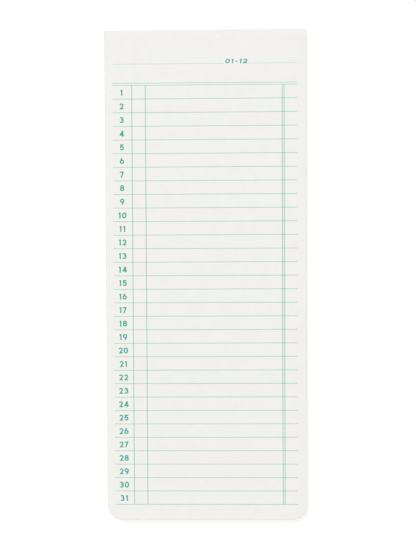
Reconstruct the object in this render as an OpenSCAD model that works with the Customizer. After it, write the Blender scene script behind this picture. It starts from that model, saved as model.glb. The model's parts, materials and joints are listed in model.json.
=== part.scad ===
// Monthly sticky memo pad: a stack of paper sheets, each with a strip of removable glue on its back
// along the top edge, on a backing card. The pad lies face up with its top edge towards +Y, and the
// origin is at the centre of its underside. All sizes are in millimetres.

/* [Sheet] */
// Width of a sheet
sheet_w = 74; // [40:1:150]
// Height of a sheet, from the top edge to the bottom edge
sheet_h = 180.8; // [100:0.1:300]
// Thickness of the paper
sheet_t = 0.1; // [0.06:0.01:0.3]
// Radius of the two bottom corners
corner_r = 5.5; // [1:0.5:15]

/* [Stack] */
// Number of sheets in the pad
sheet_count = 25; // [2:1:28]

/* [Glue strip] */
// Height of the glue strip
glue_h = 15; // [6:1:40]
// Thickness of the glue film
glue_t = 0.02; // [0.01:0.01:0.1]
// Bare paper left between the glue and the edges of the sheet
glue_margin = 1; // [0.5:0.5:5]

/* [Backing] */
// Thickness of the backing card
backing_t = 0.3; // [0.2:0.05:1]

/* [Hidden] */
$fn = 64;
paper_color = [0.95, 0.945, 0.925];
glue_color = [0.86, 0.85, 0.78];
card_color = [0.80, 0.76, 0.68];

// One sheet with the glue under it
layer_t = glue_t + sheet_t;
// Where the glue ends and the free part of a sheet begins, which is where the sheet folds
glue_top = sheet_h / 2 - glue_margin;
fold_y = glue_top - glue_h;

// Sheets are numbered from the top of the pad
function layer_z(number) = backing_t + (sheet_count - number) * layer_t;
function two_digits(number) = str(number < 10 ? "0" : "", number);
function sheet_name(number) = str("sheet_", two_digits(number));
function glue_name(number) = str("glue_strip_", two_digits(number));

// Outline of the pad: square corners at the top, round corners at the bottom
module outline() {
    translate([-sheet_w / 2, corner_r - sheet_h / 2])
        square([sheet_w, sheet_h - corner_r]);
    translate([corner_r - sheet_w / 2, -sheet_h / 2])
        square([sheet_w - 2 * corner_r, corner_r]);
    for (side = [-1, 1])
        translate([side * (sheet_w / 2 - corner_r), corner_r - sheet_h / 2])
            circle(corner_r);
}

// The part of the plane above the fold line, wide enough to cover any sheet
module above_fold() {
    translate([-sheet_w, fold_y])
        square([2 * sheet_w, sheet_h]);
}

module paper(number) {
    color(paper_color)
        translate([0, 0, layer_z(number) + glue_t])
            linear_extrude(sheet_t)
                children();
}

// Card that carries the last sheet
module backing_card() {
    color(card_color)
        linear_extrude(backing_t)
            outline();
}

// Glued part of the top sheet, from the fold line to the top edge
module sheet_01_head() {
    paper(1)
        intersection() {
            outline();
            above_fold();
        }
}

// Free part of the top sheet, which folds up about its top surface
module sheet_01_flap() {
    paper(1)
        difference() {
            outline();
            above_fold();
        }
}

// A whole sheet further down the stack
module sheet(number) {
    paper(number)
        outline();
}

// Film of glue between a sheet and what is under it
module glue_strip(number) {
    color(glue_color)
        translate([glue_margin - sheet_w / 2, fold_y, layer_z(number)])
            cube([sheet_w - 2 * glue_margin, glue_h, glue_t]);
}

backing_card();
sheet_01_head();
sheet_01_flap();
for (number = [2 : sheet_count])
    sheet(number);
for (number = [1 : sheet_count])
    glue_strip(number);
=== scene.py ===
"""Monthly sticky memo pad: printed sheets, glue films and a backing card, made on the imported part.

Lengths are in metres, in the pad's own frame: the origin is at the centre of the underside, +Y runs
to the glued top edge of the sheets, and +Z comes out of their printed face.
"""

import json
import math

import bpy
import numpy as np
from bpy.props import (
    FloatProperty,
    FloatVectorProperty,
    IntProperty,
    PointerProperty,
    StringProperty,
)
from mathutils import Matrix, Vector

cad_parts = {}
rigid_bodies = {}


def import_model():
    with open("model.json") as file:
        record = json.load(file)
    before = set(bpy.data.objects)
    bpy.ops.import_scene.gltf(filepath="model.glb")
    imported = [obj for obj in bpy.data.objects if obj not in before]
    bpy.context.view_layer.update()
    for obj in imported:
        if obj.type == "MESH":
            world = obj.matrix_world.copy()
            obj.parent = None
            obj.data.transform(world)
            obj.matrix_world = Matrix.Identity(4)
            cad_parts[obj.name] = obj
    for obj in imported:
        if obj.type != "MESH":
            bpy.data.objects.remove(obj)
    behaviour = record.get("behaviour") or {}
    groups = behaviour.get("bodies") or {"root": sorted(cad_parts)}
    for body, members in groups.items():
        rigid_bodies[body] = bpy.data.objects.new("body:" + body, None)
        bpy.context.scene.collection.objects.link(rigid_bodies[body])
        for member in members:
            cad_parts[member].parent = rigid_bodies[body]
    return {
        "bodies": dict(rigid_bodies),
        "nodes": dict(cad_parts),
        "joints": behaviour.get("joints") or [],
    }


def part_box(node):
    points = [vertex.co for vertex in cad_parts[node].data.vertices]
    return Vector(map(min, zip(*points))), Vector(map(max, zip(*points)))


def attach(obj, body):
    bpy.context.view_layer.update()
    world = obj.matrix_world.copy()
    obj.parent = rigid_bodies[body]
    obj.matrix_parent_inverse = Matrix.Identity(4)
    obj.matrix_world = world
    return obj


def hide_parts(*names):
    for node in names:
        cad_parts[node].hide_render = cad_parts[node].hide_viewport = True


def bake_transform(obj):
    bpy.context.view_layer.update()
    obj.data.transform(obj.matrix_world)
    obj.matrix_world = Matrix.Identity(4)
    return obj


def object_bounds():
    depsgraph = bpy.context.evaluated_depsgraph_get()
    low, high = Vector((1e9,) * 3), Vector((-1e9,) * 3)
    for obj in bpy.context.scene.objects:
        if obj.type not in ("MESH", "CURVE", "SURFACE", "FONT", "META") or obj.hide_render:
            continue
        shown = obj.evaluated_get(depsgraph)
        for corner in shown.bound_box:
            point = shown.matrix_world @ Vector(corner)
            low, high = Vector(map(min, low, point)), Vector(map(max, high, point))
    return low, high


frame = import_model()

bl_info = {
    "name": "Monthly Sticky Memo Pad",
    "version": (1, 0, 0),
    "blender": (4, 5, 0),
    "location": "View3D > Sidebar > Memo Pad",
    "description": "Makes the sheets, print, glue, card and studio stage of a sticky memo pad",
    "category": "Object",
}

MM = 0.001

# Outline of the pad, from the frame, and how near to a line a point lies on it
CAD_LOW, CAD_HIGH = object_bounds()
HALF_WIDTH = CAD_HIGH.x
FOOT = CAD_LOW.y
HEAD = CAD_HIGH.y
ON_LINE = 0.001 * MM

# The bodies are numbered from the top sheet down, and the top sheet folds along this line
SHEET_BODIES = sorted(
    name for name in frame["bodies"] if name.startswith("sheet_") and name[-2:].isdigit()
)
FOLD_JOINT = next(joint for joint in frame["joints"] if joint["type"] == "hinge")
FOLD_LINE = Vector(FOLD_JOINT["pos_m"])

# Steps of a leaf: round a corner, along it, over its bend, between its rims and over each rim
CORNER_STEPS = 16
ROW_STEP = 2.0 * MM
BEND_STEP = 0.1 * MM
ACROSS = 12
RIM_STEPS = 3
LEAF_ACROSS = ACROSS + 2 * RIM_STEPS

# How far apart the outlines of a rim go at the foot, in insets, and how late they do so
RIM_SPREAD = 8
RIM_SPREAD_POWER = 8

# Steps of a glue film, and the waves of its edges: one up each side, two along the others
FILM_ACROSS = 90
FILM_ALONG = 24
SIDE_WAVE = 7
LOWER_WAVES = (23, 9)
UPPER_WAVES = (17, 5)

# How far the waves of a film's two sides, and of its upper edge, are out of step
SIDE_STEP = 3
UPPER_STEP = 1

# Degrees between the points of a digit's bowl, and the bend from which an edge is drawn sharp
ARC_STEP = 9.0
SHARP_ANGLE = math.radians(30)

# How far ink reaches over and into the face of the paper, and how much further on each layer
INK_RISE = 0.003 * MM
INK_SINK = 0.004 * MM
INK_LAYER = 0.0015 * MM

# The grain of paper and board: the directions of its fibres in degrees, how many times longer than
# wide they are, and the values between which most of its clouds and fibres lie
GRAIN_GROUP = "Paper Grain"
FIBRE_TURNS = (25, -60)
FIBRE_STRETCH = 8
CLOUD_SPAN = (0.3, 0.7)
FIBRE_SPAN = (0.35, 0.75)

# Attribute that holds how near the cut edge is, as the mask of the painted edge shade, and the seed
# of the sheets' slips
CUT_EDGE = "cut_edge"
SEED = 25

# The floor lies just under the card, so that the two faces don't coincide, and is seen a little
# brighter than white where no shade falls, so that the faintest shade leaves it white
FLOOR_DROP = 0.05 * MM
FLOOR_HALF = 4.0
FLOOR_WHITE = 1.02

# The photograph's frame, whose long side the camera's sensor width belongs to, and how many times
# nearer and further than the pad the camera sees
PICTURE_HEIGHT_PX = 555
SENSOR_WIDTH_MM = 36.0
CLIP_REACH = 100


def linear(red, green, blue):
    """Scene-linear colour of an sRGB colour given in levels from 0 to 255."""
    level = np.array((red, green, blue)) / 255
    value = np.where(level <= 0.04045, level / 12.92, ((level + 0.055) / 1.055) ** 2.4)
    return tuple(value.tolist())


def corner_radius():
    """Radius of the bottom corners: half the card's width less half its straight foot."""
    vertices = frame["nodes"]["backing_card"].data.vertices
    points = np.empty(3 * len(vertices), np.float32)
    vertices.foreach_get("co", points)
    x, y, _ = points.reshape(-1, 3).T
    return HALF_WIDTH - float(x[y < FOOT + ON_LINE].max())


CORNER_RADIUS = corner_radius()


class PaperSettings(bpy.types.PropertyGroup):
    """Tones and shape of the paper sheets."""

    # Painted light and shade: the paper's tone goes from lighter at the head to darker at the foot,
    # for light that falls off along the pad.
    head_tone: FloatVectorProperty(
        name="Lit Head Tone",
        description="Colour of the paper at the glued edge",
        subtype="COLOR",
        default=linear(242.3, 241.5, 237.9),
    )
    foot_tone: FloatVectorProperty(
        name="Shaded Foot Tone",
        description="Colour of the paper at the free edge",
        subtype="COLOR",
        default=linear(241.3, 239.6, 236.1),
    )
    # Painted shade: the cut edges, and the pressed rim of each face, are drawn in this darker tone.
    cut_tone: FloatVectorProperty(
        name="Cut Shade Tone",
        description="Colour of the paper's cut edges",
        subtype="COLOR",
        default=linear(224, 221, 213),
    )
    lift: FloatProperty(
        name="Lift",
        description="How far the free edge of the top sheet rises from the stack",
        unit="LENGTH",
        default=0.3 * MM,
    )
    lift_length: FloatProperty(
        name="Lift Length",
        description="Length of the sheet that rises, measured from the free edge",
        unit="LENGTH",
        default=60 * MM,
    )
    lift_kept: FloatProperty(
        name="Lift Kept",
        description="Share of a sheet's lift that the sheet under it has",
        subtype="FACTOR",
        default=0.85,
    )
    slip: FloatProperty(
        name="Slip",
        description="How far a sheet may lie out of line with the stack",
        unit="LENGTH",
        default=0.05 * MM,
    )
    bend_length: FloatProperty(
        name="Bend Length",
        description="Length of the top sheet that bends when it is folded up",
        unit="LENGTH",
        default=3.1 * MM,
    )
    rim_width: FloatProperty(
        name="Rim Width",
        description="Width of the edge that the cutter has pressed down",
        unit="LENGTH",
        default=0.15 * MM,
    )
    rim_drop: FloatProperty(
        name="Rim Drop",
        description="How far the face of a sheet falls at its very edge",
        unit="LENGTH",
        default=0.03 * MM,
    )


class PrintSettings(bpy.types.PropertyGroup):
    """Ink, ruling and numbers, placed from the left and top edges of a sheet."""

    number_ink: FloatVectorProperty(
        name="Number Ink",
        description="Colour of the ink of the numbers",
        subtype="COLOR",
        default=linear(0, 166, 153),
    )
    line_ink: FloatVectorProperty(
        name="Line Ink",
        description="Colour of the ink of the lines, which is a paler tint of the same ink",
        subtype="COLOR",
        default=linear(117, 197, 188),
    )
    rows: IntProperty(
        name="Rows",
        description="Number of numbered rows",
        default=31,
    )
    row_pitch: FloatProperty(
        name="Row Pitch",
        description="Distance from one row line to the next",
        unit="LENGTH",
        default=5 * MM,
    )
    first_row: FloatProperty(
        name="First Row",
        description="Distance of the line over the first row from the top edge",
        unit="LENGTH",
        default=20 * MM,
    )
    rule_gap: FloatProperty(
        name="Rule Gap",
        description="Distance between the two lines over the first row",
        unit="LENGTH",
        default=0.75 * MM,
    )
    heading: FloatProperty(
        name="Heading",
        description="Distance of the heading line from the top edge",
        unit="LENGTH",
        default=12.25 * MM,
    )
    heading_ends: FloatVectorProperty(
        name="Heading Ends",
        description="Where the heading line stops and starts again on both sides of its label",
        size=2,
        unit="LENGTH",
        default=(44.0 * MM, 52.5 * MM),
    )
    side_margins: FloatVectorProperty(
        name="Side Margins",
        description="Bare paper left and right of the lines",
        size=2,
        unit="LENGTH",
        default=(2.8 * MM, 3.45 * MM),
    )
    columns: FloatVectorProperty(
        name="Columns",
        description="Distances of the two single lines and the double one from the left edge",
        size=3,
        unit="LENGTH",
        default=(9.93 * MM, 14.92 * MM, 65.5 * MM),
    )
    column_gap: FloatProperty(
        name="Column Gap",
        description="Distance between the lines of the double column line",
        unit="LENGTH",
        default=0.71 * MM,
    )
    row_line: FloatProperty(
        name="Row Line",
        description="Width of the row lines",
        unit="LENGTH",
        default=0.178 * MM,
    )
    rule_line: FloatProperty(
        name="Rule Line",
        description="Width of the two lines over the first row",
        unit="LENGTH",
        default=0.163 * MM,
    )
    column_line: FloatProperty(
        name="Column Line",
        description="Width of the column lines",
        unit="LENGTH",
        default=0.252 * MM,
    )
    heading_line: FloatProperty(
        name="Heading Line",
        description="Width of the heading line",
        unit="LENGTH",
        default=0.105 * MM,
    )
    number_centre: FloatProperty(
        name="Number Centre",
        description="Distance of the middle of the row numbers from the left edge",
        unit="LENGTH",
        default=6.14 * MM,
    )
    number_base: FloatProperty(
        name="Number Base",
        description="Height of the foot of a row number over the line below it",
        unit="LENGTH",
        default=1.24 * MM,
    )
    number_height: FloatProperty(
        name="Number Height",
        description="Height of the row numbers",
        unit="LENGTH",
        default=2.2 * MM,
    )
    number_stroke: FloatVectorProperty(
        name="Number Stroke",
        description="Widths of the upright and of the level strokes of the row numbers",
        size=2,
        unit="LENGTH",
        default=(0.48 * MM, 0.43 * MM),
    )
    number_gap: FloatProperty(
        name="Number Gap",
        description="Bare paper between two digits of a row number",
        unit="LENGTH",
        default=0.35 * MM,
    )
    label: StringProperty(
        name="Label",
        description="Plain numbers in the gap of the heading line",
        default="01-12",
    )
    label_height: FloatProperty(
        name="Label Height",
        description="Height of the label",
        unit="LENGTH",
        default=1.6 * MM,
    )
    label_stroke: FloatVectorProperty(
        name="Label Stroke",
        description="Widths of the upright and of the level strokes of the label",
        size=2,
        unit="LENGTH",
        default=(0.42 * MM, 0.37 * MM),
    )
    label_gap: FloatProperty(
        name="Label Gap",
        description="Bare paper between two signs of the label",
        unit="LENGTH",
        default=0.33 * MM,
    )
    label_stretch: FloatProperty(
        name="Label Stretch",
        description="How many times wider the label's signs are than those of the row numbers",
        subtype="FACTOR",
        default=1.7,
    )
    label_slant: FloatProperty(
        name="Label Slant",
        description="How far the label leans from upright",
        subtype="ANGLE",
        default=math.radians(12),
    )


class BackSettings(bpy.types.PropertyGroup):
    """Tones and shape of the glue films and of the backing card."""

    glue: FloatVectorProperty(
        name="Glue",
        description="Colour of the dried glue film",
        subtype="COLOR",
        default=linear(232, 229, 214),
    )
    milky_glue: FloatVectorProperty(
        name="Milky Glue",
        description="Colour of the glue film where it lies thicker",
        subtype="COLOR",
        default=linear(240, 238, 228),
    )
    card: FloatVectorProperty(
        name="Card",
        description="Colour of the grey board",
        subtype="COLOR",
        default=linear(206, 199, 186),
    )
    card_fleck: FloatVectorProperty(
        name="Card Fleck",
        description="Colour of the darker fibres in the board",
        subtype="COLOR",
        default=linear(164, 154, 138),
    )
    card_rim_width: FloatProperty(
        name="Card Rim Width",
        description="Width of the edge of the card that the cutter has pressed down",
        unit="LENGTH",
        default=0.3 * MM,
    )
    card_rim_drop: FloatProperty(
        name="Card Rim Drop",
        description="How far the face of the card falls at its very edge",
        unit="LENGTH",
        default=0.06 * MM,
    )
    film_thickness: FloatProperty(
        name="Film Thickness",
        description="Thickness of the dried glue",
        unit="LENGTH",
        default=0.012 * MM,
    )
    film_rim: FloatProperty(
        name="Film Rim",
        description="Width over which the glue thins out towards its edge",
        unit="LENGTH",
        default=0.8 * MM,
    )
    film_thinning: FloatProperty(
        name="Film Thinning",
        description="Share of its thickness that the glue loses at its edge",
        subtype="FACTOR",
        default=0.75,
    )
    film_ripple: FloatProperty(
        name="Film Ripple",
        description="How far the edge of the glue wanders",
        unit="LENGTH",
        default=0.35 * MM,
    )


class StageSettings(bpy.types.PropertyGroup):
    """Light, floor and camera."""

    sun_strength: FloatProperty(
        name="Sun Strength",
        description="Strength of the soft lamp at the upper left",
        default=2.055,
    )
    sun_width: FloatProperty(
        name="Sun Width",
        description="Angle that the soft lamp fills, which blurs its shadow",
        subtype="ANGLE",
        default=math.radians(14),
    )
    sun_direction: FloatVectorProperty(
        name="Sun Direction",
        description="Direction in which the soft lamp shines",
        subtype="DIRECTION",
        default=(0.25, -0.59, -1.0),
    )
    sky_strength: FloatProperty(
        name="Sky Strength",
        description="Strength of the even light from all round",
        default=0.45,
    )
    floor: FloatVectorProperty(
        name="Floor",
        description="Colour of the floor as it lights the pad",
        subtype="COLOR",
        default=(0.8, 0.8, 0.8),
    )
    floor_shade: FloatVectorProperty(
        name="Floor Shade",
        description="How much of each colour the floor loses in full shadow, as it is seen",
        subtype="COLOR",
        default=(0.10, 0.145, 0.215),
    )
    camera_distance: FloatProperty(
        name="Camera Distance",
        description="Distance of the camera from the face of the pad",
        unit="LENGTH",
        default=0.4,
    )
    camera_turn: FloatVectorProperty(
        name="Camera Turn",
        description="How the pad is turned before the camera, about its X, Y and Z axes",
        subtype="EULER",
        default=(math.radians(1.887), math.radians(-1.334), math.radians(0.283)),
    )
    camera_offset: FloatVectorProperty(
        name="Camera Offset",
        description="How far the pad's middle lies right of and above the middle of the picture",
        size=2,
        unit="LENGTH",
        default=(-0.645 * MM, 0.336 * MM),
    )
    picture_scale: FloatProperty(
        name="Picture Scale",
        description="Pixels of the photograph to a metre on the face of the pad",
        default=2710.4,
    )


def carried_quads(stations, across, closed=False):
    """Faces of a flat ring that is carried along a path.

    A ring has across + 1 points over the face from left to right, then as many under it from right
    to left. Quad (j, k) joins points k and k + 1 of rings j and j + 1. An open path gets a wall at
    each end, which joins each point of the face to the one under it, and a closed path joins its
    last ring to its first.
    """
    ring = 2 * (across + 1)
    spans = stations if closed else stations - 1
    j, k = np.meshgrid(np.arange(spans), np.arange(ring), indexing="ij")
    this_ring = j * ring
    next_ring = (j + 1) % stations * ring
    follower = (k + 1) % ring
    sides = [this_ring + k, this_ring + follower, next_ring + follower, next_ring + k]
    quads = np.stack(sides, axis=-1).reshape(-1, 4)
    if closed:
        return quads
    over = np.arange(across)
    under = ring - 1 - over
    start = np.stack([over, under, under - 1, over + 1], axis=-1)
    end = np.stack([over, over + 1, under - 1, under], axis=-1) + (stations - 1) * ring
    return np.vstack([quads, start, end])


def leaf_rows(*runs):
    """Places along Y of a leaf's rows, from its foot to its head.

    They go round the corners in even steps of angle, y = foot + radius * (1 - cos turn), and on in
    runs of even steps, each given by its end and the greatest length of its steps.
    """
    turn = np.linspace(0, math.pi / 2, CORNER_STEPS + 1)
    rows = FOOT + CORNER_RADIUS * (1 - np.cos(turn))
    for end, step in runs:
        count = math.ceil((end - rows[-1]) / step)
        rows = np.concatenate([rows, np.linspace(rows[-1], end, count + 1)[1:]])
    return rows


def half_width_at(y, inset):
    """Half the width at y of the outline that lies an inset inside the pad's edge.

    It is half the straight edge at the foot plus sqrt(r * r - d * d), where r is the corner radius
    less the inset and d is how far y lies under the centres of the corners. The outlines stop short
    of the foot, so they go on to it apart from each other, each drawn in by
    spread * inset * (d / corner radius) ** power.
    """
    depth = np.clip(FOOT + CORNER_RADIUS - y, 0, CORNER_RADIUS)
    reach = np.sqrt(np.clip((CORNER_RADIUS - inset) ** 2 - depth**2, 0, None))
    spread = RIM_SPREAD * inset * (depth / CORNER_RADIUS) ** RIM_SPREAD_POWER
    return HALF_WIDTH - CORNER_RADIUS + reach - spread


def edge_distance(x, y):
    """Distance of a point of a leaf from its edge, up to the corner radius.

    It is the radius less the way to the rectangle inside the round corners, or the way to the head.
    """
    beside = np.clip(np.abs(x) - HALF_WIDTH + CORNER_RADIUS, 0, None)
    below = np.clip(FOOT + CORNER_RADIUS - y, 0, None)
    return np.minimum(CORNER_RADIUS - np.hypot(beside, below), HEAD - y)


def leaf(rows, bottom, thickness, rise, rim_width, rim_drop):
    """Points of a leaf, row by row, and how near each is to its face's edge.

    Nearness is 1 at the edge, and 0 inside the rim and on the back. x runs between plus and minus
    half the width at y, in even steps and, over the rims, along outlines at even insets. z is the
    back or the face, plus the rise of the row, and the face falls by drop * nearness ** 2 towards
    the edge.
    """
    rim = half_width_at(rows[:, None], np.linspace(0, rim_width, RIM_STEPS + 1))
    between = rim[:, -1:] * np.linspace(-1, 1, ACROSS + 1)
    x = np.hstack([-rim[:, :-1], between, rim[:, -2::-1]])
    y = np.broadcast_to(rows[:, None], x.shape)
    near = 1 - np.clip(edge_distance(x, y) / rim_width, 0, 1)
    back = np.broadcast_to((bottom + rise)[:, None], x.shape)
    face = back + thickness - rim_drop * near**2
    return ringed(x, y, face, back), np.hstack([near, np.zeros_like(near)]).ravel()


def ringed(x, y, face, back):
    """Points of rows that go over a face from left to right, then under it from right to left."""
    over = np.stack([x, y, face], axis=-1)
    under = np.stack([x, y, back], axis=-1)[:, ::-1]
    return np.hstack([over, under]).reshape(-1, 3)


def glue_patch(low, high, back):
    """Points of a glue film under a sheet, as rows of points over and under it.

    On a grid of u from -1 to 1 across and v from 0 to 1 along, x = u * half width and y runs from
    the lower to the upper edge. Each edge draws in by ripple * (1 + wave) / 2. The film hangs from
    the sheet and is thinner by a share * (1 - distance from the edge / rim) ** 2 towards its edge.
    """
    u, v = np.meshgrid(np.linspace(-1, 1, FILM_ACROSS + 1), np.linspace(0, 1, FILM_ALONG + 1))
    half = (high.x - low.x) / 2
    length = high.y - low.y
    side_wave = np.sin(SIDE_WAVE * v + SIDE_STEP * np.sign(u))
    lower_wave = np.sin(LOWER_WAVES[0] * u) * np.cos(LOWER_WAVES[1] * u)
    upper_wave = np.sin(UPPER_WAVES[0] * u + UPPER_STEP) * np.cos(UPPER_WAVES[1] * u)
    drawn_side = back.film_ripple * (1 + side_wave) / 2
    drawn_low = back.film_ripple * (1 + lower_wave) / 2
    drawn_high = back.film_ripple * (1 + upper_wave) / 2
    x = (low.x + high.x) / 2 + u * (half - drawn_side)
    y = low.y + drawn_low + v * (length - drawn_low - drawn_high)
    distance = np.minimum(half * (1 - np.abs(u)), length * np.minimum(v, 1 - v))
    share = np.clip(distance / back.film_rim, 0, 1)
    thickness = back.film_thickness * (1 - back.film_thinning * (1 - share) ** 2)
    face = np.full_like(x, high.z)
    return ringed(x, y, face, face - thickness)


def lift_at(y, number, paper):
    """How far sheet number (from 0 at the top) has risen at y: lift * kept ** number * share ** 2.

    The share grows evenly from 0, a lift length away from the free edge, to 1 at that edge.
    """
    share = np.clip((FOOT + paper.lift_length - y) / paper.lift_length, 0, 1)
    return paper.lift * paper.lift_kept**number * share**2


def ribbon(path, nib, ends):
    """A flat band along a path in the plane: its four-point rings, and whether the path is closed.

    The nib is as wide as an upright stroke and as high as a level one, and in units of it every
    stroke is one wide. Each point goes half of that to the left and right along the mitre of the
    directions that meet there, longer by one over the cosine of half the bend. An end is cut
    square, or goes on by half the nib along the axis that is given for it and is cut along the
    other axis.
    """
    path = path / nib
    closed = bool(np.allclose(path[0], path[-1]))
    step = np.diff(path, axis=0)
    way = step / np.linalg.norm(step, axis=1, keepdims=True)
    if closed:
        path = path[:-1]
        before = np.roll(way, 1, axis=0)
        after = way
    else:
        before = np.vstack([way[:1], way])
        after = np.vstack([way, way[-1:]])
    mitre = before + after
    mitre /= np.linalg.norm(mitre, axis=1, keepdims=True)
    cosine = (mitre * after).sum(axis=1)
    normal = np.stack([-mitre[:, 1], mitre[:, 0]], axis=-1)
    reach = normal / (2 * cosine)[:, None]
    for end, outward in ((0, -way[0]), (-1, way[-1])):
        axis = ends[end]
        if axis is not None:
            path[end] += outward / abs(2 * outward[axis])
            reach[end, axis] = 0
            reach[end, 1 - axis] = 0.5 / normal[end, 1 - axis]
    left = (path + reach) * nib
    right = (path - reach) * nib
    return np.stack([left, right, right, left], axis=1), closed


def arc(centre, radii, start, end):
    """Points of an elliptic arc between two angles in degrees: centre + radii * (cos, sin)."""
    count = math.ceil(abs(end - start) / ARC_STEP) + 1
    turn = np.radians(np.linspace(start, end, count))
    return centre + radii * np.stack([np.cos(turn), np.sin(turn)], axis=-1)


def touch(centre, radii, point):
    """Angle in degrees at which a line from a point touches an ellipse, anticlockwise of the point.

    Where the ellipse is a circle of radius 1 and the point lies d away, the two angles are the arc
    cosine of 1 / d apart.
    """
    x, y = (np.array(point) - centre) / radii
    return math.degrees(math.atan2(y, x) + math.acos(1 / math.hypot(x, y)))


def line(*points):
    """Points of a broken line."""
    return np.array(points, float)


def free(path):
    """A stroke whose ends are cut square."""
    return path, (None, None)


def bar(path, start=True, end=True):
    """A level stroke. The ends asked for go on to the side of the digit and are cut upright."""
    return path, (0 if start else None, 0 if end else None)


def stem(path, start=True, end=True):
    """A steep stroke. The ends asked for go on to the digit's top or foot and are cut level."""
    return path, (1 if start else None, 1 if end else None)


def nought():
    """Strokes of a nought: an oval with straight sides."""
    top = arc((0.5, 0.58), (0.5, 0.42), 0, 180)
    foot = arc((0.5, 0.42), (0.5, 0.42), 180, 360)
    return [free(np.vstack([top, foot, top[:1]]))]


def one():
    """Strokes of a one: a stem and a short flag."""
    return [stem(line((0.70, 0), (0.70, 1))), free(line((-0.10, 0.83), (0.70, 1)))]


def two():
    """Strokes of a two: a bowl that runs straight on to the left end of the foot, and the foot."""
    bowl = (0.5, 0.70), (0.48, 0.30)
    corner = (0.22, 0)
    neck = arc(*bowl, 168, touch(*bowl, corner))
    slope = stem(np.vstack([neck, line(corner)]), start=False)
    return [slope, bar(line(corner, (0.98, 0)), start=False)]


def three():
    """Strokes of a three: two bowls that share an arm in the middle."""
    arm = line((0.36, 0.53))
    upper = arc((0.46, 0.765), (0.43, 0.235), 158, -90)
    lower = arc((0.48, 0.265), (0.50, 0.265), 90, -158)
    return [free(np.vstack([upper, arm])), free(np.vstack([arm, lower]))]


def four():
    """Strokes of a four: a stem, a slope down to the left and a crossbar."""
    corner = (0.12, 0.23)
    upright = stem(line((0.76, 0), (0.76, 1)))
    slope = stem(line((0.68, 1), corner))
    return [upright, slope, bar(line(corner, (1, 0.23)), start=False)]


def five():
    """Strokes of a five: a bar at the top, a short stem under its left end and a bowl."""
    corner = (0.18, 1)
    bowl = arc((0.46, 0.325), (0.54, 0.325), 134, -150)
    return [bar(line(corner, (0.92, 1)), start=False), stem(line(corner, (0.09, 0.51))), free(bowl)]


def six():
    """Strokes of a six: a ring, and a stem that touches it on its left."""
    ring = (0.5, 0.315), (0.5, 0.315)
    top = (0.42, 1)
    start = touch(*ring, top)
    turn = arc(*ring, start, start + 360)
    return [free(turn), stem(line(turn[0], top), start=False)]


def seven():
    """Strokes of a seven: a bar at the top and a slope from its right end."""
    corner = (0.88, 1)
    return [bar(line((0, 1), corner), end=False), stem(line(corner, (0.26, 0)))]


def eight():
    """Strokes of an eight: two rings that cross in the middle."""
    upper = arc((0.5, 0.765), (0.42, 0.235), -90, 270)
    lower = arc((0.5, 0.265), (0.5, 0.265), 90, 450)
    return [free(upper), free(lower)]


def nine():
    """Strokes of a nine: a six turned by half a turn."""
    return [(1 - path, ends) for path, ends in six()]


def dash():
    """The stroke of a dash."""
    return [free(line((0, 0.45), (1, 0.45)))]


# Each sign's strokes in a box one wide and one high, and the box's width as a share of its height
SIGNS = {
    "0": (0.64, nought()),
    "1": (0.30, one()),
    "2": (0.60, two()),
    "3": (0.64, three()),
    "4": (0.72, four()),
    "5": (0.60, five()),
    "6": (0.64, six()),
    "7": (0.60, seven()),
    "8": (0.63, eight()),
    "9": (0.64, nine()),
    "-": (0.40, dash()),
}


def written(text, height, nib, gap, stretch=1.0):
    """Strokes of a line of signs as (path, nib, ends, layer), centred on x = 0, its foot on y = 0.

    The box of a sign lies half a nib inside its outline, and the next sign starts a gap further on.
    Each stroke of a sign lies on a layer of its own, because they cross.
    """
    nib = np.array(nib)
    tall = height - nib[1]
    strokes = []
    start = 0.0
    for sign in text:
        share, shapes = SIGNS[sign]
        wide = share * tall * stretch
        for layer, (shape, ends) in enumerate(shapes):
            strokes.append((shape * (wide, tall) + nib / 2 + (start, 0), nib, ends, layer))
        start += wide + nib[0] + gap
    middle = (start - gap) / 2
    return [(path - (middle, 0), *rest) for path, *rest in strokes]


def ruled(path, width, layer):
    """A ruled line as (path, nib, ends, layer)."""
    shape, ends = free(path)
    return shape, np.array((width, width)), ends, layer


def row_levels(layout):
    """Heights of the row lines in the sheet's plane: line i lies one pitch under line i - 1."""
    return [HEAD - layout.first_row - row * layout.row_pitch for row in range(layout.rows + 1)]


def column_places(layout):
    """Places of the column lines across the sheet: two single lines and a double one."""
    half_gap = layout.column_gap / 2
    single_a, single_b, double = layout.columns
    places = (single_a, single_b, double - half_gap, double + half_gap)
    return [place - HALF_WIDTH for place in places]


def ruled_lines(layout):
    """Row, rule, heading and column lines as (path, nib, ends, layer), in the sheet's plane.

    The column lines run from the first row line to the last, and a rule lies above the first.
    """
    left = layout.side_margins[0] - HALF_WIDTH
    right = HALF_WIDTH - layout.side_margins[1]
    heading = HEAD - layout.heading
    first, *levels = row_levels(layout)
    last = levels[-1]
    rules = (first + layout.rule_gap, first)
    lines = [ruled(line((left, y), (right, y)), layout.rule_line, 0) for y in rules]
    lines += [ruled(line((left, y), (right, y)), layout.row_line, 0) for y in levels]
    stop = layout.heading_ends[0] - HALF_WIDTH
    start = layout.heading_ends[1] - HALF_WIDTH
    lines.append(ruled(line((left, heading), (stop, heading)), layout.heading_line, 0))
    lines.append(ruled(line((start, heading), (right, heading)), layout.heading_line, 0))
    heights = np.linspace(first, last, math.ceil((first - last) / ROW_STEP) + 1)
    for x in column_places(layout):
        path = np.stack([np.full_like(heights, x), heights], axis=-1)
        lines.append(ruled(path, layout.column_line, 1))
    return lines


def crossings(layout):
    """Dots where column lines and row lines cross, because the ink is double there.

    A dot is as wide as the column line and as high as the row line.
    """
    half = layout.row_line / 2
    return [
        ruled(line((x, y + half), (x, y - half)), layout.column_line, 2)
        for x in column_places(layout)
        for y in row_levels(layout)[1:-1]
    ]


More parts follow.
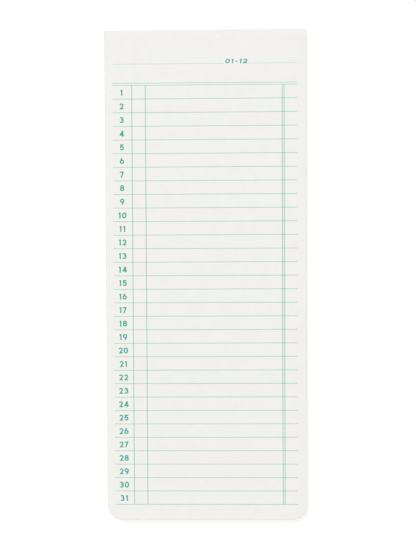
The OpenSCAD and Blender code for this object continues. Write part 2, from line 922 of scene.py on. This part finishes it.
def numbers_and_label(layout):
    """Strokes of the row numbers over their lines and of the slanted label on the heading line."""
    strokes = []
    centre = layout.number_centre - HALF_WIDTH
    for number, level in enumerate(row_levels(layout)[1:], 1):
        place = (centre, level + layout.number_base)
        signs = written(str(number), layout.number_height, layout.number_stroke, layout.number_gap)
        strokes += [(path + place, *rest) for path, *rest in signs]
    place = (sum(layout.heading_ends) / 2 - HALF_WIDTH, HEAD - layout.heading)
    lean = np.array([[1, 0], [math.tan(layout.label_slant), 1]])
    signs = written(
        layout.label,
        layout.label_height,
        layout.label_stroke,
        layout.label_gap,
        layout.label_stretch,
    )
    strokes += [(path @ lean + place, *rest) for path, *rest in signs]
    return strokes


def ink_film(strokes):
    """A film of ink along some strokes: flat points, their heights over the paper, and faces.

    It reaches from a rise over the paper to a sink in it, both further out on each higher layer.
    """
    points = []
    heights = []
    quads = []
    count = 0
    for path, nib, ends, layer in strokes:
        rings, closed = ribbon(path, nib, ends)
        top = INK_RISE + layer * INK_LAYER
        low = -INK_SINK - layer * INK_LAYER
        points.append(rings.reshape(-1, 2))
        heights.append(np.tile((top, top, low, low), len(rings)))
        quads.append(carried_quads(len(rings), 1, closed) + count)
        count += rings.shape[0] * rings.shape[1]
    return np.vstack(points), np.concatenate(heights), np.vstack(quads)


def new_piece(name, points, quads, material):
    """A mesh object at the origin from whole arrays of points and four-sided faces."""
    mesh = bpy.data.meshes.new(name)
    mesh.vertices.add(len(points))
    mesh.vertices.foreach_set("co", points.astype(np.float32).ravel())
    mesh.loops.add(quads.size)
    mesh.loops.foreach_set("vertex_index", quads.astype(np.int32).ravel())
    mesh.polygons.add(len(quads))
    mesh.polygons.foreach_set("loop_start", np.arange(0, quads.size, 4, dtype=np.int32))
    mesh.update(calc_edges=True)
    if mesh.validate():
        raise RuntimeError(f"the mesh of {name} has faces that don't hold together")
    mesh.shade_smooth()
    mesh.set_sharp_from_angle(angle=SHARP_ANGLE)
    mesh.materials.append(material)
    piece = bpy.data.objects.new(name, mesh)
    bpy.context.scene.collection.objects.link(piece)
    return piece


def mark_cut_edges(piece, nearness):
    """Stores on each point of a leaf how near it is to the cut edge, as the mask of the material's
    painted edge shade.
    """
    attribute = piece.data.attributes.new(CUT_EDGE, "FLOAT", "POINT")
    attribute.data.foreach_set("value", nearness.astype(np.float32))


def sheet_nodes(body):
    """Names of the paper nodes of a sheet: the top sheet has two, the others one."""
    return sorted(name for name in frame["nodes"] if name.startswith(body))


def face_height(body):
    """Heights of the back and of the face of a sheet."""
    low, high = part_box(sheet_nodes(body)[0])
    return low.z, high.z


def numbered(name, body):
    """The name of a sheet's piece or node, which ends in the number of its body."""
    return name + body[-3:]


def slips(limit):
    """Even random offsets in X and Y of the sheets, up to a limit, and none for the top one."""
    drawn = np.random.default_rng(SEED).uniform(-limit, limit, (len(SHEET_BODIES), 2))
    drawn[0] = 0
    return drawn


def carry(piece, body):
    """Rides a sheet's piece on its body. The top sheet's piece is left unattached, its transform
    baked into its mesh.
    """
    flap = body + "_flap"
    if flap in frame["bodies"]:
        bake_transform(piece)
    else:
        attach(piece, body)


def add_node(tree, kind, values=None, **settings):
    """A new shader node with its settings and the values of its named sockets."""
    node = tree.nodes.new(kind)
    for name, value in settings.items():
        setattr(node, name, value)
    for name, value in (values or {}).items():
        node.inputs[name].default_value = value
    return node


def mix_colours(tree, factor, first, second, blend="MIX"):
    """A socket that mixes two colours by a socket or number. Each colour is a socket or a value."""
    node = add_node(tree, "ShaderNodeMix", data_type="RGBA", blend_type=blend)
    ends = {socket.identifier: socket for socket in node.inputs}
    for name, source in (("Factor_Float", factor), ("A_Color", first), ("B_Color", second)):
        if isinstance(source, bpy.types.NodeSocket):
            tree.links.new(source, ends[name])
        elif name == "Factor_Float":
            ends[name].default_value = source
        else:
            ends[name].default_value = (*source, 1)
    return next(socket for socket in node.outputs if socket.identifier == "Result_Color")


def map_range(tree, source, span, result):
    """A socket that goes evenly through a result's range as its source goes through a span."""
    values = {"From Min": span[0], "From Max": span[1], "To Min": result[0], "To Max": result[1]}
    node = add_node(tree, "ShaderNodeMapRange", values)
    tree.links.new(source, node.inputs["Value"])
    return node.outputs["Result"]


def mottled(tree, tone, source, span, lightness):
    """A colour times a lightness that goes through its range as a source goes through a span."""
    return mix_colours(tree, 1.0, tone, map_range(tree, source, span, lightness), "MULTIPLY")


def paper_grain():
    """The shared node group of paper and board: soft clouds, and fibres in two directions."""
    found = bpy.data.node_groups.get(GRAIN_GROUP)
    if found:
        return found
    group = bpy.data.node_groups.new(GRAIN_GROUP, "ShaderNodeTree")
    sockets = (
        ("Vector", "INPUT", "NodeSocketVector"),
        ("Cloud Scale", "INPUT", "NodeSocketFloat"),
        ("Fibre Scale", "INPUT", "NodeSocketFloat"),
        ("Cloud", "OUTPUT", "NodeSocketFloat"),
        ("Fibre", "OUTPUT", "NodeSocketFloat"),
    )
    for name, direction, kind in sockets:
        group.interface.new_socket(name, in_out=direction, socket_type=kind)
    given = add_node(group, "NodeGroupInput")
    made = add_node(group, "NodeGroupOutput")
    cloud = add_node(group, "ShaderNodeTexNoise", {"Detail": 4.0, "Roughness": 0.6})
    group.links.new(given.outputs["Vector"], cloud.inputs["Vector"])
    group.links.new(given.outputs["Cloud Scale"], cloud.inputs["Scale"])
    group.links.new(cloud.outputs[0], made.inputs["Cloud"])
    web = add_node(group, "ShaderNodeMath", operation="MAXIMUM")
    for slot, turn in enumerate(FIBRE_TURNS):
        laid = {"Rotation": (0, 0, math.radians(turn)), "Scale": (1, FIBRE_STRETCH, 1)}
        mapping = add_node(group, "ShaderNodeMapping", laid, vector_type="TEXTURE")
        fibre = add_node(group, "ShaderNodeTexNoise", {"Detail": 2.0, "Roughness": 0.5})
        group.links.new(given.outputs["Vector"], mapping.inputs["Vector"])
        group.links.new(mapping.outputs["Vector"], fibre.inputs["Vector"])
        group.links.new(given.outputs["Fibre Scale"], fibre.inputs["Scale"])
        group.links.new(fibre.outputs[0], web.inputs[slot])
    group.links.new(web.outputs["Value"], made.inputs["Fibre"])
    return group


def grained_material(name, cloud_scale, fibre_scale, rough, relief, gloss):
    """A new material with the shared grain: fibres vary its roughness and raise its surface.

    rough is the roughness between and on the fibres, relief their height and gloss the specular
    level. Returns the material, its tree, the input of its colour, the outputs of its grain and the
    object's coordinates.
    """
    material = bpy.data.materials.new(name)
    material.use_nodes = True
    tree = material.node_tree
    shader = tree.nodes["Principled BSDF"]
    shader.inputs["Specular IOR Level"].default_value = gloss
    place = add_node(tree, "ShaderNodeTexCoord").outputs["Object"]
    scales = {"Cloud Scale": cloud_scale, "Fibre Scale": fibre_scale}
    grain = add_node(tree, "ShaderNodeGroup", scales, node_tree=paper_grain())
    tree.links.new(place, grain.inputs["Vector"])
    roughness = map_range(tree, grain.outputs["Fibre"], FIBRE_SPAN, rough)
    tree.links.new(roughness, shader.inputs["Roughness"])
    bump = add_node(tree, "ShaderNodeBump", {"Strength": 0.35, "Distance": relief})
    tree.links.new(grain.outputs["Fibre"], bump.inputs["Height"])
    tree.links.new(bump.outputs["Normal"], shader.inputs["Normal"])
    return material, tree, shader.inputs["Base Color"], grain.outputs, place


def paper_material(paper):
    """Matt uncoated paper, mottled by its grain and darkened by painted shade towards the foot and
    over its cut edges.
    """
    material, tree, colour, grain, place = grained_material(
        "paper", cloud_scale=260, fibre_scale=5200, rough=(0.84, 0.94), relief=0.02 * MM, gloss=0.3
    )
    parts = add_node(tree, "ShaderNodeSeparateXYZ")
    tree.links.new(place, parts.inputs["Vector"])
    # Painted light and shade: lighter at the head, darker towards the foot.
    way_up = map_range(tree, parts.outputs["Y"], span=(FOOT, HEAD), result=(0, 1))
    tone = mix_colours(tree, way_up, paper.foot_tone, paper.head_tone)
    tone = mottled(tree, tone, grain["Cloud"], CLOUD_SPAN, lightness=(0.988, 1.012))
    tone = mottled(tree, tone, grain["Fibre"], span=(0.35, 0.8), lightness=(0.985, 1.01))
    # Painted shade: darker over the cut edges and the pressed rim of the face.
    cut = add_node(tree, "ShaderNodeAttribute", attribute_name=CUT_EDGE)
    tone = mix_colours(tree, cut.outputs["Fac"], tone, paper.cut_tone)
    tree.links.new(tone, colour)
    return material


def ink_material(name, tone, shaded_paper_tone):
    """Offset ink on that paper: it covers unevenly, and the fibres stand through it."""
    material, tree, colour, grain, _ = grained_material(
        name, cloud_scale=900, fibre_scale=5200, rough=(0.62, 0.8), relief=0.015 * MM, gloss=0.35
    )
    # The paper's tone that the ink thins towards is the foot's, with its painted shade.
    thin = map_range(tree, grain["Fibre"], span=(0.5, 0.8), result=(0, 0.06))
    ink = mix_colours(tree, thin, tone, shaded_paper_tone)
    ink = mottled(tree, ink, grain["Cloud"], CLOUD_SPAN, lightness=(0.95, 1.05))
    tree.links.new(ink, colour)
    return material


def glue_material(back):
    """A dried film of tacky glue: satin, with milky patches and a fine stipple."""
    material, tree, colour, grain, place = grained_material(
        "glue", cloud_scale=420, fibre_scale=2600, rough=(0.34, 0.5), relief=0.01 * MM, gloss=0.5
    )
    stipple = add_node(tree, "ShaderNodeTexVoronoi", {"Scale": 3200})
    tree.links.new(place, stipple.inputs["Vector"])
    milk = map_range(tree, grain["Cloud"], span=(0.35, 0.65), result=(0, 1))
    tone = mix_colours(tree, milk, back.glue, back.milky_glue)
    tone = mottled(tree, tone, stipple.outputs["Distance"], span=(0.1, 0.6), lightness=(0.97, 1.02))
    tree.links.new(tone, colour)
    return material


def card_material(back):
    """Unprinted grey board: warm grey, with darker fibres and clouds of recycled pulp."""
    material, tree, colour, grain, _ = grained_material(
        "card", cloud_scale=340, fibre_scale=2400, rough=(0.82, 0.95), relief=0.05 * MM, gloss=0.25
    )
    fleck = map_range(tree, grain["Fibre"], span=(0.62, 0.78), result=(0, 0.7))
    tone = mix_colours(tree, fleck, back.card, back.card_fleck)
    tone = mottled(tree, tone, grain["Cloud"], CLOUD_SPAN, lightness=(0.94, 1.05))
    tree.links.new(tone, colour)
    return material


def seen_rays(tree):
    """A socket that is 1 for rays from the camera, also reflected or through glass, and else 0."""
    path = add_node(tree, "ShaderNodeLightPath")
    seen = path.outputs["Is Camera Ray"]
    for name in ("Is Glossy Ray", "Is Transmission Ray"):
        either = add_node(tree, "ShaderNodeMath", operation="MAXIMUM")
        tree.links.new(seen, either.inputs[0])
        tree.links.new(path.outputs[name], either.inputs[1])
        seen = either.outputs["Value"]
    return seen


def emptied_tree(block):
    """The node tree of a new material or world, with nothing in it."""
    block.use_nodes = True
    block.node_tree.nodes.clear()
    return block.node_tree


def put_out(tree, kind, plain, shown):
    """Puts one shader out as it is seen, and the plain one to all other rays."""
    pick = add_node(tree, "ShaderNodeMixShader")
    output = add_node(tree, kind)
    tree.links.new(seen_rays(tree), pick.inputs["Fac"])
    tree.links.new(plain, pick.inputs[1])
    tree.links.new(shown, pick.inputs[2])
    tree.links.new(pick.outputs["Shader"], output.inputs["Surface"])


def floor_material(stage):
    """A pale floor that is seen as white, less the share that the pad's shadow takes from it."""
    material = bpy.data.materials.new("floor")
    tree = emptied_tree(material)
    plain = add_node(tree, "ShaderNodeBsdfDiffuse", {"Color": (*stage.floor, 1)})
    shade = add_node(tree, "ShaderNodeBsdfDiffuse", {"Color": (*stage.floor_shade, 1)})
    white = [FLOOR_WHITE - value for value in stage.floor_shade]
    glow = add_node(tree, "ShaderNodeEmission", {"Color": (*white, 1), "Strength": 1.0})
    shown = add_node(tree, "ShaderNodeAddShader")
    tree.links.new(shade.outputs["BSDF"], shown.inputs[0])
    tree.links.new(glow.outputs["Emission"], shown.inputs[1])
    put_out(tree, "ShaderNodeOutputMaterial", plain.outputs["BSDF"], shown.outputs["Shader"])
    return material


def make_world(stage):
    """Even light from all round, seen as white."""
    world = bpy.data.worlds.new("studio")
    tree = emptied_tree(world)
    even, white = (
        add_node(tree, "ShaderNodeBackground", {"Color": (1, 1, 1, 1), "Strength": strength})
        for strength in (stage.sky_strength, 1.0)
    )
    put_out(tree, "ShaderNodeOutputWorld", even.outputs["Background"], white.outputs["Background"])
    bpy.context.scene.world = world


def make_sun(stage):
    """One wide lamp that shines from the upper left."""
    lamp = bpy.data.lights.new("soft_lamp", "SUN")
    lamp.energy = stage.sun_strength
    lamp.angle = stage.sun_width
    sun = bpy.data.objects.new("soft_lamp", lamp)
    sun.rotation_mode = "QUATERNION"
    sun.rotation_quaternion = Vector(stage.sun_direction).to_track_quat("-Z", "Y")
    bpy.context.scene.collection.objects.link(sun)


def make_floor(stage):
    """A square of floor just under the card, on which the pad's shadow falls."""
    x, y = np.meshgrid((-FLOOR_HALF, FLOOR_HALF), (-FLOOR_HALF, FLOOR_HALF))
    z = np.full_like(x, CAD_LOW.z - FLOOR_DROP)
    points = np.stack([x, y, z], axis=-1).reshape(-1, 3)
    floor = new_piece("floor", points, np.array([[0, 1, 3, 2]]), floor_material(stage))


def make_camera(stage):
    """A camera whose picture has the photograph's scale, turn and place.

    With the pad turned by R and moved by the offset, the camera stands the distance away on its own
    Z axis. Seen from the pad it is at R transposed times (minus offset, distance), over its face.
    """
    about_x, about_y, about_z = (
        Matrix.Rotation(angle, 3, axis) for angle, axis in zip(stage.camera_turn, "XYZ")
    )
    turn = (about_x @ about_y @ about_z).transposed()
    across, up = stage.camera_offset
    place = turn @ Vector((-across, -up, stage.camera_distance)) + Vector((0, 0, CAD_HIGH.z))
    lens = bpy.data.cameras.new("camera")
    lens.sensor_width = SENSOR_WIDTH_MM
    lens.lens = stage.picture_scale * stage.camera_distance * SENSOR_WIDTH_MM / PICTURE_HEIGHT_PX
    lens.clip_start = stage.camera_distance / CLIP_REACH
    lens.clip_end = stage.camera_distance * CLIP_REACH
    camera = bpy.data.objects.new("camera", lens)
    camera.matrix_world = Matrix.Translation(place) @ turn.to_4x4()
    bpy.context.scene.collection.objects.link(camera)
    bpy.context.scene.camera = camera


def print_sheets(context, name, strokes, material):
    """Prints the same strokes on the face of each sheet, as one piece a sheet."""
    paper = context.scene.memo_pad_paper
    flat, heights, quads = ink_film(strokes)
    offsets = slips(paper.slip)
    for number, body in enumerate(SHEET_BODIES):
        _, face = face_height(body)
        z = face + lift_at(flat[:, 1], number, paper) + heights
        points = np.column_stack([flat + offsets[number], z])
        ink = new_piece(numbered(name, body), points, quads, material)
        carry(ink, body)


class MEMO_PAD_OT_card(bpy.types.Operator):
    """Make the backing card under the last sheet"""

    bl_idname = "memo_pad.card"
    bl_label = "Backing Card"

    def execute(self, context):
        back = context.scene.memo_pad_back
        rim = back.card_rim_width
        low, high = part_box("backing_card")
        rows = leaf_rows((HEAD - rim, ROW_STEP), (HEAD, rim / RIM_STEPS))
        points, _ = leaf(rows, low.z, high.z - low.z, np.zeros_like(rows), rim, back.card_rim_drop)
        card = new_piece("card", points, carried_quads(len(rows), LEAF_ACROSS), card_material(back))
        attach(card, "backing")
        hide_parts("backing_card")
        return {"FINISHED"}


class MEMO_PAD_OT_glue(bpy.types.Operator):
    """Make the glue film on the back of each sheet"""

    bl_idname = "memo_pad.glue"
    bl_label = "Glue Films"

    def execute(self, context):
        back = context.scene.memo_pad_back
        material = glue_material(back)
        quads = carried_quads(FILM_ALONG + 1, FILM_ACROSS)
        for body in SHEET_BODIES:
            node = numbered("glue_strip", body)
            points = glue_patch(*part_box(node), back)
            film = new_piece(numbered("glue_film", body), points, quads, material)
            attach(film, body)
            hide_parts(node)
        return {"FINISHED"}


class MEMO_PAD_OT_paper(bpy.types.Operator):
    """Make the sheets of paper"""

    bl_idname = "memo_pad.paper"
    bl_label = "Paper Sheets"

    def execute(self, context):
        paper = context.scene.memo_pad_paper
        rim = paper.rim_width
        material = paper_material(paper)
        rows = leaf_rows(
            (FOLD_LINE.y - paper.bend_length, ROW_STEP),
            (FOLD_LINE.y, BEND_STEP),
            (HEAD - rim, ROW_STEP),
            (HEAD, rim / RIM_STEPS),
        )
        quads = carried_quads(len(rows), LEAF_ACROSS)
        offsets = slips(paper.slip)
        for number, body in enumerate(SHEET_BODIES):
            bottom, face = face_height(body)
            rise = lift_at(rows, number, paper)
            points, nearness = leaf(rows, bottom, face - bottom, rise, rim, paper.rim_drop)
            points[:, :2] += offsets[number]
            sheet = new_piece(numbered("paper", body), points, quads, material)
            mark_cut_edges(sheet, nearness)
            carry(sheet, body)
            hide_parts(*sheet_nodes(body))
        return {"FINISHED"}


class MEMO_PAD_OT_ruling(bpy.types.Operator):
    """Print the row, column and heading lines on each sheet"""

    bl_idname = "memo_pad.ruling"
    bl_label = "Ruling"

    def execute(self, context):
        layout = context.scene.memo_pad_print
        shaded_paper_tone = context.scene.memo_pad_paper.foot_tone
        material = ink_material("line_ink", layout.line_ink, shaded_paper_tone)
        print_sheets(context, "ruling", ruled_lines(layout), material)
        return {"FINISHED"}


class MEMO_PAD_OT_numbers(bpy.types.Operator):
    """Print the row numbers, the label and the dots where lines cross on each sheet"""

    bl_idname = "memo_pad.numbers"
    bl_label = "Numbers"

    def execute(self, context):
        layout = context.scene.memo_pad_print
        shaded_paper_tone = context.scene.memo_pad_paper.foot_tone
        material = ink_material("number_ink", layout.number_ink, shaded_paper_tone)
        print_sheets(context, "numbers", numbers_and_label(layout) + crossings(layout), material)
        return {"FINISHED"}


class MEMO_PAD_OT_stage(bpy.types.Operator):
    """Set up the floor, the light and the camera"""

    bl_idname = "memo_pad.stage"
    bl_label = "Studio Stage"

    def execute(self, context):
        stage = context.scene.memo_pad_stage
        make_floor(stage)
        make_world(stage)
        make_sun(stage)
        make_camera(stage)
        context.scene.view_settings.view_transform = "Standard"
        return {"FINISHED"}


class MEMO_PAD_PT_sidebar(bpy.types.Panel):
    """The pad's operators, and the values that they use"""

    bl_label = "Memo Pad"
    bl_idname = "MEMO_PAD_PT_sidebar"
    bl_space_type = "VIEW_3D"
    bl_region_type = "UI"
    bl_category = "Memo Pad"

    def draw(self, context):
        column = self.layout.column()
        for operator in OPERATORS:
            column.operator(operator.bl_idname)
        for name, settings in SETTINGS.items():
            box = self.layout.box()
            for value in settings.__annotations__:
                box.prop(getattr(context.scene, name), value)


SETTINGS = {
    "memo_pad_paper": PaperSettings,
    "memo_pad_print": PrintSettings,
    "memo_pad_back": BackSettings,
    "memo_pad_stage": StageSettings,
}
OPERATORS = (
    MEMO_PAD_OT_card,
    MEMO_PAD_OT_glue,
    MEMO_PAD_OT_paper,
    MEMO_PAD_OT_ruling,
    MEMO_PAD_OT_numbers,
    MEMO_PAD_OT_stage,
)
CLASSES = (*SETTINGS.values(), *OPERATORS, MEMO_PAD_PT_sidebar)


def register():
    """Registers the classes and gives each scene its settings."""
    for added in CLASSES:
        bpy.utils.register_class(added)
    for name, settings in SETTINGS.items():
        setattr(bpy.types.Scene, name, PointerProperty(type=settings))


def unregister():
    """Takes the settings and the classes away again."""
    for name in SETTINGS:
        delattr(bpy.types.Scene, name)
    for added in reversed(CLASSES):
        bpy.utils.unregister_class(added)


def main():
    """Makes the pad and its stage."""
    register()
    bpy.ops.memo_pad.card()
    bpy.ops.memo_pad.glue()
    bpy.ops.memo_pad.paper()
    bpy.ops.memo_pad.ruling()
    bpy.ops.memo_pad.numbers()
    bpy.ops.memo_pad.stage()


if __name__ == "__main__":
    main()
